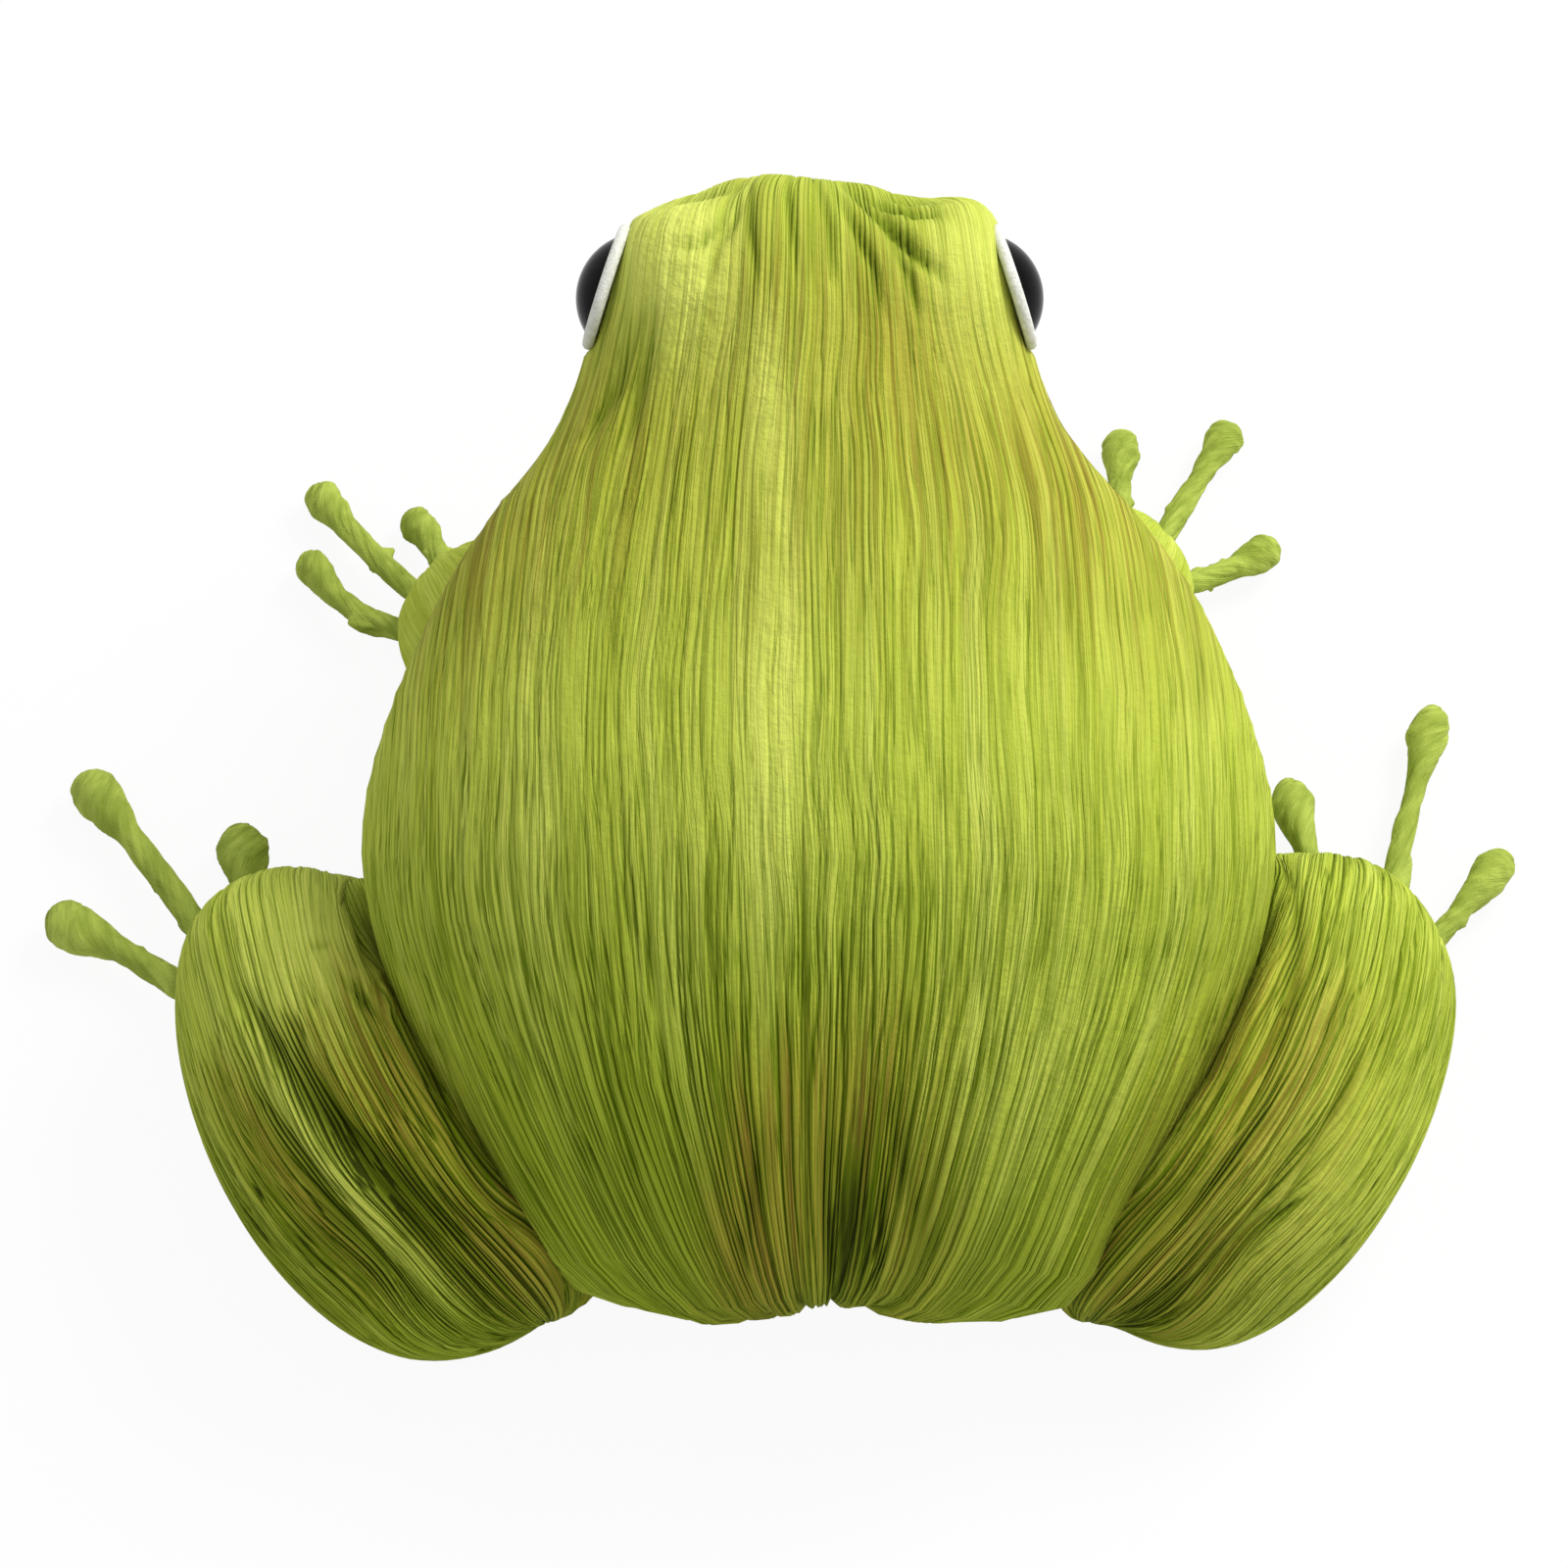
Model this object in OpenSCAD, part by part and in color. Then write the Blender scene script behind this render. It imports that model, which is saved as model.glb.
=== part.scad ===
// Sitting frog of gathered crepe paper: one body with the head, four leg pads, twelve
// twisted paper toes and two glossy eyes on white felt discs. Millimetres, +Z up, the
// head towards +Y, the origin in the middle of the flat patch that the belly rests on.

/* [Body] */
// Length of head and trunk along the back
body_l = 211.5; // [209:0.5:220]
// Rise of the back towards the head, in degrees
body_tilt = 20; // [14:1:26]
// Height of belly that is pressed flat by the table
belly_flat = 3; // [2:0.5:5]
// Distance of the rump from the tail end
rump_at = 5; // [3:0.5:8]
// Width across the rump
rump_w = 78; // [66:1:90]
// Thickness of the rump from back to belly
rump_d = 40; // [34:1:50]
// Distance of the loins from the tail end
loin_at = 32; // [26:1:40]
// Width across the loins
loin_w = 131; // [120:1:144]
// Thickness of the loins from back to belly
loin_d = 80; // [70:1:90]
// Distance of the widest section from the tail end
flank_at = 86; // [76:1:98]
// Width across the flanks
flank_w = 170; // [156:1:186]
// Thickness of the trunk from back to belly
flank_d = 104; // [92:1:116]
// Distance of the shoulders from the nose end
shoulder_at = 77.5; // [70:0.5:88]
// Width across the shoulders
shoulder_w = 141; // [128:1:150]
// Thickness at the shoulders from back to belly
shoulder_d = 86; // [76:1:96]
// Depth of the cleft where the gathers meet at the tail
cleft_depth = 4.5; // [2:0.5:7]
// Half-width of that cleft
cleft_w = 7; // [5:0.5:12]
// Distance of that cleft from the body's middle
cleft_x = 3; // [-6:0.5:6]
// Reach of that cleft up the back
cleft_l = 20; // [12:1:30]

/* [Head] */
// Distance of the neck from the nose end
neck_at = 45.5; // [38:0.5:53]
// Width across the neck
neck_w = 93; // [82:1:102]
// Thickness of the neck from back to throat
neck_d = 66; // [56:1:76]
// Distance of the cheeks from the nose end
cheek_at = 18.5; // [14.5:0.5:27]
// Width across the cheeks
cheek_w = 74; // [66:1:82]
// Thickness of the head at the cheeks
cheek_d = 50; // [42:1:58]
// Distance of the muzzle from the nose end
muzzle_at = 5; // [3.5:0.5:8]
// Width across the muzzle
muzzle_w = 57; // [48:1:64]
// Thickness of the muzzle
muzzle_d = 34; // [26:1:42]
// Sideways shift of the head
head_shift = -1.6; // [-4:0.2:4]
// Sideways lean of the gather at the nose
nose_lean = -5; // [-10:0.5:10]
// Swelling of the brow over each eye
brow_swell = 4.5; // [2:0.5:7]
// Length of that swelling along the head
brow_l = 11; // [8:0.5:15]
// Half-width of that swelling, in degrees round the section
brow_spread = 24; // [16:1:32]

/* [Eyes] */
// Distance of the eyes from the nose end
eye_at = 21; // [17.5:0.5:27]
// Height of the eyes above the middle of the head
eye_rise = 6; // [2:0.5:9]
// Turn of the eyes towards the nose, in degrees
eye_turn = 18; // [10:1:26]
// Depth of the flat seat pressed into the head for each eye
eye_seat = 1.8; // [1:0.1:2.6]
// Play round the felt disc in its seat
seat_play = 0.5; // [0.2:0.1:1]
// Diameter of the felt disc
disc_dia = 24; // [20:0.5:28]
// Thickness of the felt disc
disc_t = 2.2; // [1.4:0.1:3]
// Diameter of the eye dome at its flat back
dome_dia = 18.5; // [15:0.5:19.5]
// Height of the eye dome
dome_h = 4.25; // [3.5:0.25:7]

/* [Hind legs] */
// Length of the hind leg pad from hip to knee
thigh_l = 103; // [92:1:114]
// Distance of the left hip from the tail end, along the body
left_hip_at = 4; // [0:1:12]
// Distance of the right hip from the tail end, along the body
right_hip_at = 5.5; // [0:0.5:12]
// Distance of the left hip inwards from the side of the flank
left_hip_in = 35; // [27:1:41]
// Distance of the right hip inwards from the side of the flank
right_hip_in = 34; // [27:1:41]
// Turn of the pad outwards from the body's length, in degrees
thigh_splay = 33; // [28:1:38]
// Height of the pad's long axis above the table
thigh_axis_z = 18; // [14:1:22]
// Reach of the left pad outwards from its axis
left_thigh_out = 37.5; // [32:0.5:44]
// Reach of the right pad outwards from its axis
right_thigh_out = 35; // [32:0.5:44]
// Reach of the pad inwards, where the body allows it
thigh_in = 48; // [40:1:56]
// Reach of the pad upwards from its axis
thigh_up = 38; // [32:1:44]
// Distance from the knee end back to the middle of the foot, along the pad
foot_back = 31; // [25:1:39]
// Distance of the middle of the foot outwards from the pad's axis
foot_out = 13; // [9:0.5:16]

/* [Fore legs] */
// Length of the fore leg pad
arm_l = 42; // [36:1:48]
// Distance of the left pad's inner end from the nose end, along the body
left_arm_at = 86.5; // [79.5:0.5:95.5]
// Distance of the right pad's inner end from the nose end, along the body
right_arm_at = 78.5; // [71.5:0.5:85.5]
// Distance of the left pad's inner end inwards from the side of the shoulders
left_arm_in = 14.5; // [10.5:0.5:20.5]
// Distance of the right pad's inner end inwards from the side of the shoulders
right_arm_in = 22.5; // [16.5:0.5:28.5]
// Lean of the pad's top towards the body
arm_lean = 12; // [6:1:18]
// Turn of the pad outwards from the body's length, in degrees
arm_splay = 24; // [18:1:30]
// Height of the pad's long axis above the table
arm_axis_z = 14; // [12:1:18]
// Half-width of the pad
arm_half_w = 14; // [12:0.5:17]
// Reach of the pad's top above the underside of the body at its inner end, before the body bounds it
arm_tuck = 5.5; // [3:0.5:9]
// Distance from the pad's outer end back to the middle of the hand
hand_back = 15; // [11:0.5:18]

/* [Toes] */
// Reach of the left hind toes from the middle of the foot: outer, middle, inner
left_hind_reach = [55, 71, 49]; // [40:1:80]
// Reach of the right hind toes from the middle of the foot: outer, middle, inner
right_hind_reach = [51, 73, 57]; // [40:1:80]
// Reach of the left fore toes from the middle of the hand: outer, middle, inner
left_fore_reach = [37, 45, 30]; // [26:0.5:52]
// Reach of the right fore toes from the middle of the hand: outer, middle, inner
right_fore_reach = [33, 44.5, 37]; // [26:0.5:52]
// Diameter of a hind toe's twisted stem
hind_stem_dia = 5.2; // [4:0.1:5.6]
// Diameter of a hind toe's bulb
hind_bulb_dia = 9.6; // [8:0.2:11]
// Length of a hind toe's bulb
hind_bulb_l = 17; // [13:0.5:21]
// Distance from the middle of the foot to the end of a toe inside the pad
hind_root = 18; // [17:0.5:19]
// Diameter of a fore toe's twisted stem
fore_stem_dia = 4.4; // [3.6:0.1:4.8]
// Diameter of a fore toe's bulb
fore_bulb_dia = 7.4; // [6:0.2:8.4]
// Length of a fore toe's bulb
fore_bulb_l = 12; // [9:0.5:15]
// Distance from the middle of the hand to the end of a toe inside the pad
fore_root = 11; // [10:0.5:12]
// Height of the toes' roots above the table
root_z = 7.5; // [6:0.5:9]

/* [Paper] */
// Number of gathered pleats round the body
body_pleats = 84; // [48:4:96]
// Number of gathered pleats round a hind leg
thigh_pleats = 36; // [24:4:44]
// Number of gathered pleats round a fore leg
arm_pleats = 20; // [12:4:28]
// Depth of the deepest pleat
pleat_depth = 0.9; // [0.4:0.1:1.4]
// Glue line between two papered pieces
glue_gap = 0.6; // [0.5:0.05:0.9]
// Play of a toe in its hole
socket_play = 0.15; // [0.1:0.05:0.3]

/* [Hidden] */
BIG = 400;
SEED = 7;
BODY_STEPS = 4;
PAD_STEPS = 3;
TOE_SIDES = 10;
TOE_STEPS = 12;
BULB_NOSE = 0.32;
BROW_ANGLE = 45;
VALLEY_SHARE = 0.2;
SHALLOWEST = 0.35;
LEFT = -1;
RIGHT = 1;

// Toes of each foot: name, angle of the root, angle of the tip, both seen from above
// and counted from +X, and reach of the tip.
function toes(rows, reaches) = [for (i = [0 : len(rows) - 1]) [each rows[i], reaches[i]]];
LEFT_HIND_TOES = toes([["outer", 144, 147], ["middle", 123, 125], ["inner", 103, 102]], left_hind_reach);
RIGHT_HIND_TOES = toes([["outer", 55, 53], ["middle", 77, 76], ["inner", 100, 102]], right_hind_reach);
LEFT_FORE_TOES = toes([["outer", 172, 149], ["middle", 138, 133], ["inner", 108, 114]], left_fore_reach);
RIGHT_FORE_TOES = toes([["outer", 17, 24], ["middle", 60, 60], ["inner", 92, 89]], right_fore_reach);

// Profiles of the leg pads: share of the length, then shares of the reaches outwards, upwards,
// inwards and downwards at that place.
THIGH_PROFILE = [
    [0.05, 0.66, 0.45, 0.34, 0.9], [0.27, 0.98, 0.9, 0.8, 1.06], [0.56, 1, 1, 1, 1.06],
    [0.835, 0.76, 0.82, 0.86, 1], [0.95, 0.4, 0.45, 0.5, 0.5]];
ARM_PROFILE = [
    [0.1, 0.6, 0.4, 0.6, 0.6], [0.38, 0.95, 1, 1, 1.1], [0.69, 1, 1, 1, 1.1], [0.9, 0.66, 0.5, 0.66, 0.66]];

// Forms: rows of [along, right, up, left, down] from pole to pole, with quarter
// ellipses between the four reaches of a row.
function body_row(at, width, thickness) = [at, width / 2, thickness / 2, width / 2, thickness / 2];
function pole(at) = [at, 0, 0, 0, 0];
function mirrored(row) = [row[0], -row[1], -row[2], -row[3], -row[4]];
function catmull(a, b, c, d, u) =
    0.5 * (2 * b + (c - a) * u + (2 * a - 5 * b + 4 * c - d) * u * u + (3 * b - a - 3 * c + d) * u * u * u);
function row_at(rows, k, u) =
    catmull(k > 0 ? rows[k - 1] : mirrored(rows[1]), rows[k], rows[k + 1],
            k + 2 < len(rows) ? rows[k + 2] : mirrored(rows[k]), u);
function rings(rows, steps) =
    [for (k = [0 : len(rows) - 2], j = [0 : steps - 1])
        if (k + j > 0) row_at(rows, k, j / steps)];
function reach(row, angle) =
    [cos(angle) * (cos(angle) > 0 ? row[1] : row[3]), sin(angle) * (sin(angle) > 0 ? row[2] : row[4])];

// Points of a pleated form: each second point of a ring lies in a valley of random depth,
// which narrows with the pleat. swell gives the height of a bulge at a place on the form.
function ring_points(row, pleats, valleys, swell) =
    [for (j = [0 : 2 * pleats - 1])
        let (angle = 180 * j / pleats,
             spot = reach(row, angle),
             r = norm(spot),
             pitch = 2 * PI * r / pleats,
             valley = min(valleys[j] * pleat_depth, VALLEY_SHARE * pitch),
             grown = max(r + swell(row[0], angle) - valley, r / 4))
        [spot[0] * grown / r, row[0], spot[1] * grown / r]];
function form_points(rows, steps, pleats, swell) =
    let (valleys = [for (j = [0 : 2 * pleats - 1]) j % 2 * rands(SHALLOWEST, 1, 1, SEED + j)[0]])
    concat([[0, rows[0][0], 0]],
           [for (row = rings(rows, steps)) each ring_points(row, pleats, valleys, swell)],
           [[0, rows[len(rows) - 1][0], 0]]);
function form_faces(count, sides) =
    concat([for (j = [0 : sides - 1]) [0, 1 + (j + 1) % sides, 1 + j]],
           [for (i = [0 : count - 2], j = [0 : sides - 1])
               let (a = 1 + i * sides + j, b = 1 + i * sides + (j + 1) % sides)
               each [[a, b, a + sides], [b, b + sides, a + sides]]],
           [for (j = [0 : sides - 1])
               let (start = 1 + (count - 1) * sides)
               [start + sides, start + j, start + (j + 1) % sides]]);
no_swell = function (along, angle) 0;

// Body: its sections, its place above the table, and the way back into its own frame
function from_tail(from_nose) = body_l - from_nose;
shoulder_y = from_tail(shoulder_at);
neck_y = from_tail(neck_at);
cheek_y = from_tail(cheek_at);
muzzle_y = from_tail(muzzle_at);
eye_y = from_tail(eye_at);
body_rows = [
    pole(0), body_row(rump_at, rump_w, rump_d), body_row(loin_at, loin_w, loin_d),
    body_row(flank_at, flank_w, flank_d), body_row(shoulder_y, shoulder_w, shoulder_d),
    body_row(neck_y, neck_w, neck_d), body_row(cheek_y, cheek_w, cheek_d),
    body_row(muzzle_y, muzzle_w, muzzle_d), pole(body_l)];
body_rings = rings(body_rows, BODY_STEPS);
belly_z = [for (row = body_rings) row[0] * sin(body_tilt) - row[4] * cos(body_tilt)];
lowest = [for (i = [0 : len(body_rings) - 1]) if (belly_z[i] == min(belly_z)) body_rings[i]][0];
tail_z = -min(belly_z) - belly_flat;
tail_y = -lowest[0] * cos(body_tilt) - lowest[4] * sin(body_tilt);
body_width = [for (row = body_rings) [row[0], row[1]]];
body_thick = [for (row = body_rings) [row[0], row[4]]];

function hill(x, spread) = exp(-x * x / (2 * spread * spread));
brow_swelling = function (along, angle)
    brow_swell * hill(along - cheek_y, brow_l)
    * (hill(angle - BROW_ANGLE, brow_spread) + hill(180 - angle - BROW_ANGLE, brow_spread));
function ramp(x, from, to) = min(1, max(0, (x - from) / (to - from)));
function lean(p) =
    let (shift = head_shift * ramp(p[1], shoulder_y, neck_y) + nose_lean * ramp(p[1], muzzle_y, body_l))
    [p[0] + shift, p[1], p[2]];
function cleave(p) =
    let (dent = cleft_depth * hill(p[0] - cleft_x, cleft_w) * hill(p[1], cleft_l))
    [p[0], p[1] + dent, p[2] > 0 ? p[2] * p[2] / (p[2] + dent) : p[2]];
function body_to_world(p) =
    [p[0], tail_y + p[1] * cos(body_tilt) - p[2] * sin(body_tilt),
     tail_z + p[1] * sin(body_tilt) + p[2] * cos(body_tilt)];
function world_to_body(p) =
    let (y = p[1] - tail_y, z = p[2] - tail_z)
    [p[0], y * cos(body_tilt) + z * sin(body_tilt), z * cos(body_tilt) - y * sin(body_tilt)];
function arch(x) = sqrt(max(0, 1 - x * x));

// Points that would lie in the body move out of it: sideways off the flank, or down off the belly
function off_flank(p, side) =
    let (q = world_to_body(p),
         half_w = lookup(q[1], body_width) + glue_gap,
         half_d = lookup(q[1], body_thick) + glue_gap,
         flank = q[1] < 0 || q[1] > body_l ? 0 : half_w * arch(q[2] / half_d))
    [side * max(side * p[0], flank), p[1], p[2]];
function off_belly(p) =
    let (q = world_to_body(p),
         half_w = lookup(q[1], body_width) + glue_gap,
         half_d = lookup(q[1], body_thick) + glue_gap)
    abs(q[0]) < half_w ? body_to_world([q[0], q[1], min(q[2], -half_d * arch(q[0] / half_w))]) : p;

// Leg pads: rows along their own axes, and the places of hip, foot, armpit and hand
function on_side(row, side) = side == RIGHT ? row : [row[0], row[3], row[2], row[1], row[4]];
function pad_rows(profile, length, out, up, in, down) =
    concat([pole(0)],
           [for (row = profile) [row[0] * length, row[1] * out, row[2] * up, row[3] * in, row[4] * down]],
           [pole(length)]);
function pad_to_world(p, start, splay, side) =
    [start[0] + side * (p[1] * sin(splay)) + p[0] * cos(splay),
     start[1] + p[1] * cos(splay) - side * p[0] * sin(splay), start[2] + p[2]];
function pick(side, left, right) = side == LEFT ? left : right;
function hip(side) =
    [side * (flank_w / 2 - pick(side, left_hip_in, right_hip_in)),
     tail_y + pick(side, left_hip_at, right_hip_at) * cos(body_tilt), thigh_axis_z];
function armpit(side) =
    [side * (shoulder_w / 2 - pick(side, left_arm_in, right_arm_in)),
     tail_y + from_tail(pick(side, left_arm_at, right_arm_at)) * cos(body_tilt), arm_axis_z];
function underside(x, at) =
    body_to_world([x, at, -lookup(at, body_thick) * arch(x / lookup(at, body_width))])[2];
function arm_up(side) =
    underside(armpit(side)[0], from_tail(pick(side, left_arm_at, right_arm_at))) + arm_tuck - arm_axis_z;
function lean_in(p, side) = [p[0] - side * arm_lean * max(0, p[2]) / arm_up(side), p[1], p[2]];
function foot(side) = pad_to_world([side * foot_out, thigh_l - foot_back, 0], hip(side), thigh_splay, side);
function hand(side) = pad_to_world([0, arm_l - hand_back, 0], armpit(side), arm_splay, side);

// Toes: a bent centre line from the root in the pad to the bulb on the table
function level(angle) = [cos(angle), sin(angle), 0];
function toe_line(middle, toe, root, bulb_dia) =
    let (start = [middle[0], middle[1], root_z] + root * level(toe[1]),
         tip = [middle[0], middle[1], bulb_dia / 2] + toe[3] * level(toe[2]),
         bend = start + norm(tip - start) / 2 * level(toe[1]))
    [start, [bend[0], bend[1], (start[2] + tip[2]) / 2], tip];
function hind_line(side, which) = toe_line(foot(side), which, hind_root, hind_bulb_dia);
function fore_line(side, which) = toe_line(hand(side), which, fore_root, fore_bulb_dia);
function on_line(line, u) = (1 - u) * (1 - u) * line[0] + 2 * u * (1 - u) * line[1] + u * u * line[2];
function along_line(line, u) = let (d = (1 - u) * (line[1] - line[0]) + u * (line[2] - line[1])) d / norm(d);
function toe_radius(from_tip, stem_dia, bulb_dia, bulb_l) =
    let (q = from_tip / bulb_l, stem = stem_dia / 2, bulb = bulb_dia / 2)
    q > 1 ? stem
    : q > BULB_NOSE ? stem + (bulb - stem) * (1 + cos(180 * (q - BULB_NOSE) / (1 - BULB_NOSE))) / 2
    : bulb * arch((BULB_NOSE - q) / BULB_NOSE);
function toe_ring(line, u, r) =
    let (way = along_line(line, u),
         side = cross(way, [0, 0, 1]) / norm(cross(way, [0, 0, 1])),
         up = cross(side, way))
    [for (j = [0 : TOE_SIDES - 1])
        on_line(line, u) + r * (cos(360 * j / TOE_SIDES) * side + sin(360 * j / TOE_SIDES) * up)];

module form(points, pleats) {
    polyhedron(points, form_faces((len(points) - 2) / (2 * pleats), 2 * pleats), convexity = 6);
}

module below_table() {
    translate([-BIG / 2, -BIG / 2, -BIG]) cube(BIG);
}

// Moves its children to an eye: +Z points out of the head, z = 0 is the seat
module at_eye(side) {
    seat_x = lookup(eye_y, body_width) - eye_seat;
    place = body_to_world(lean([side * seat_x, eye_y, eye_rise]));
    translate(place) rotate([body_tilt, 0, 0]) rotate([0, 0, side * eye_turn]) rotate([0, side * 90, 0])
        children();
}

module body() {
    points = [for (p = form_points(body_rows, BODY_STEPS, body_pleats, brow_swelling))
        body_to_world(lean(cleave(p)))];
    color([0.66, 0.72, 0.27]) difference() {
        form(points, body_pleats);
        below_table();
        for (side = [LEFT, RIGHT]) at_eye(side) cylinder(d = disc_dia + 2 * seat_play, h = BIG / 8, $fn = 64);
    }
}

module eye_disc(side) {
    edge = disc_t / 2;
    color([0.93, 0.93, 0.88]) at_eye(side) {
        cylinder(d = disc_dia - disc_t, h = disc_t, $fn = 64);
        translate([0, 0, edge]) rotate_extrude($fn = 64)
            translate([disc_dia / 2 - edge, 0]) circle(edge, $fn = 32);
    }
}

module eye_dome(side) {
    ball = (dome_dia * dome_dia / 4 + dome_h * dome_h) / (2 * dome_h);
    color([0.02, 0.02, 0.02]) at_eye(side) translate([0, 0, disc_t]) intersection() {
        translate([0, 0, dome_h - ball]) sphere(ball, $fn = 64);
        cylinder(d = 2 * dome_dia, h = 2 * dome_h, $fn = 64);
    }
}

// A toe, or with play the hole that it sits in
module toe_form(line, stem_dia, bulb_dia, bulb_l, play) {
    reach = norm(line[1] - line[0]) + norm(line[2] - line[1]);
    shares = [for (i = [0 : TOE_STEPS - 1]) sin(90 * i / TOE_STEPS)];
    radii = [for (u = shares) play + toe_radius((1 - u) * reach, stem_dia, bulb_dia, bulb_l)];
    back = play * along_line(line, 0);
    points = concat([line[0] - back],
                    [for (p = toe_ring(line, 0, radii[0])) p - back],
                    [for (i = [1 : TOE_STEPS - 1]) each toe_ring(line, shares[i], radii[i])],
                    [line[2]]);
    polyhedron(points, form_faces(TOE_STEPS, TOE_SIDES), convexity = 4);
}

module hind_leg(side) {
    out = pick(side, left_thigh_out, right_thigh_out);
    reaches = pad_rows(THIGH_PROFILE, thigh_l, out, thigh_up, thigh_in, thigh_axis_z);
    rows = [for (row = reaches) on_side(row, side)];
    points = [for (p = form_points(rows, PAD_STEPS, thigh_pleats, no_swell))
        off_flank(pad_to_world(p, hip(side), thigh_splay, side), side)];
    color([0.62, 0.68, 0.25]) difference() {
        form(points, thigh_pleats);
        below_table();
        for (which = pick(side, LEFT_HIND_TOES, RIGHT_HIND_TOES))
            toe_form(hind_line(side, which), hind_stem_dia, hind_bulb_dia, hind_bulb_l, socket_play);
    }
}

module fore_leg(side) {
    reaches = pad_rows(ARM_PROFILE, arm_l, arm_half_w, arm_up(side), arm_half_w, arm_axis_z);
    rows = [for (row = reaches) on_side(row, side)];
    points = [for (p = form_points(rows, PAD_STEPS, arm_pleats, no_swell))
        off_belly(pad_to_world(lean_in(p, side), armpit(side), arm_splay, side))];
    color([0.68, 0.75, 0.32]) difference() {
        form(points, arm_pleats);
        below_table();
        for (which = pick(side, LEFT_FORE_TOES, RIGHT_FORE_TOES))
            toe_form(fore_line(side, which), fore_stem_dia, fore_bulb_dia, fore_bulb_l, socket_play);
    }
}

module hind_toe(side, which) {
    color([0.62, 0.70, 0.27]) toe_form(hind_line(side, which), hind_stem_dia, hind_bulb_dia, hind_bulb_l, 0);
}

module fore_toe(side, which) {
    color([0.62, 0.70, 0.27]) toe_form(fore_line(side, which), fore_stem_dia, fore_bulb_dia, fore_bulb_l, 0);
}

body();
hind_leg(LEFT);  // left_hind_leg
hind_leg(RIGHT);  // right_hind_leg
fore_leg(LEFT);  // left_fore_leg
fore_leg(RIGHT);  // right_fore_leg
eye_disc(LEFT);  // left_eye_disc
eye_disc(RIGHT);  // right_eye_disc
eye_dome(LEFT);  // left_eye_dome
eye_dome(RIGHT);  // right_eye_dome
for (which = LEFT_HIND_TOES)
    hind_toe(LEFT, which);
for (which = RIGHT_HIND_TOES)
    hind_toe(RIGHT, which);
for (which = LEFT_FORE_TOES)
    fore_toe(LEFT, which);
for (which = RIGHT_FORE_TOES)
    fore_toe(RIGHT, which);
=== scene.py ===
import math

import bpy
import numpy as np
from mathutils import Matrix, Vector
from mathutils.bvhtree import BVHTree


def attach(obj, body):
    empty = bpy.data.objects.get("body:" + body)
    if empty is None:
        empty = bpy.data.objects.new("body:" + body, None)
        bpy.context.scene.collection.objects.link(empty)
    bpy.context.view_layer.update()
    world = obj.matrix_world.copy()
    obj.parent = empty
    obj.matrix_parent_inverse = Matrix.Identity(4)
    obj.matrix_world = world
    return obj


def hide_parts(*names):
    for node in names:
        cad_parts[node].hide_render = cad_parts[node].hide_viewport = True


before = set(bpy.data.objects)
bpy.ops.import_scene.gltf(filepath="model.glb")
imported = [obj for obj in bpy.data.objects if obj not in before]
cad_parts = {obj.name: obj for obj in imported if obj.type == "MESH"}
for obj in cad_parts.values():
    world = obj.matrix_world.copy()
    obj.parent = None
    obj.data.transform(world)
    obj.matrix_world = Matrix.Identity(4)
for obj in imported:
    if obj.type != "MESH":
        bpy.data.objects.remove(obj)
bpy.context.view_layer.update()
scene = bpy.context.scene
scene.view_settings.view_transform = "Standard"

# A sitting frog of crepe paper: the paper with its pleats, gathers, folds and dye is drawn over the
# plain forms of the solids. Sizes are in metres, in the same frame as the solids, and values in
# millimetres say so.
MM = 0.001
TILT = math.radians(20)
RIGHTWARD = np.array([1.0, 0.0, 0.0])
UPWARD = np.array([0.0, 0.0, 1.0])
NOSEWARD = np.array([0.0, math.cos(TILT), math.sin(TILT)])
OUT_OF_BACK = np.array([0.0, -math.sin(TILT), math.cos(TILT)])
TAIL = np.array([0.0, -43.75, 23.64]) * MM
SIDES = {"left": -1, "right": 1}

# How sharp a crease's lips are, and how near to the end of a form the first row of points lies, in radians
CREASE_SHARPNESS = 1.3
POLE_GAP = 0.05
# How far paper drapes over the holes that toes leave, in rows
DRAPE = 2.5


# Paper relief: smooth random fields that close round a form, and the creases along their zero lines
def unit(v):
    return v / np.linalg.norm(v, axis=-1, keepdims=True)


def eased(t):
    return t * t * (3 - 2 * t)


def ease(x, low, high):
    return eased(np.clip((x - low) / (high - low), 0, 1))


def hill(x, spread):
    return np.exp(-(x / spread) ** 2 / 2)


def crumple(around, along, cells, runs, seed):
    lattice = np.random.default_rng(seed).uniform(-1, 1, (cells, runs + 2))
    u = np.mod(around, 1.0) * cells
    w = np.clip(along, 0, 1) * runs
    cell = np.floor(u).astype(int)
    run = np.floor(w).astype(int)
    f = eased(u - cell)
    g = eased(w - run)
    cell = cell % cells
    beside = (cell + 1) % cells
    low = lattice[cell, run] * (1 - f) + lattice[beside, run] * f
    high = lattice[cell, run + 1] * (1 - f) + lattice[beside, run + 1] * f
    return low * (1 - g) + high * g


def creases(field, width):
    return np.clip(1 - np.abs(field) / width, 0, 1) ** CREASE_SHARPNESS


def blurred(values, over_rows, over_columns):
    for axis, spread in ((0, over_rows), (1, over_columns)):
        if spread <= 0:
            continue
        reach = int(3 * spread) + 1
        kernel = hill(np.arange(-reach, reach + 1), spread)
        kernel /= kernel.sum()
        margins = [(reach, reach) if a == axis else (0, 0) for a in (0, 1)]
        padded = np.pad(values, margins, mode="edge" if axis == 0 else "wrap")
        size = values.shape[axis]
        shifted = (np.take(padded, range(n, n + size), axis=axis) for n in range(2 * reach + 1))
        values = sum(part * weight for part, weight in zip(shifted, kernel))
    return values


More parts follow.
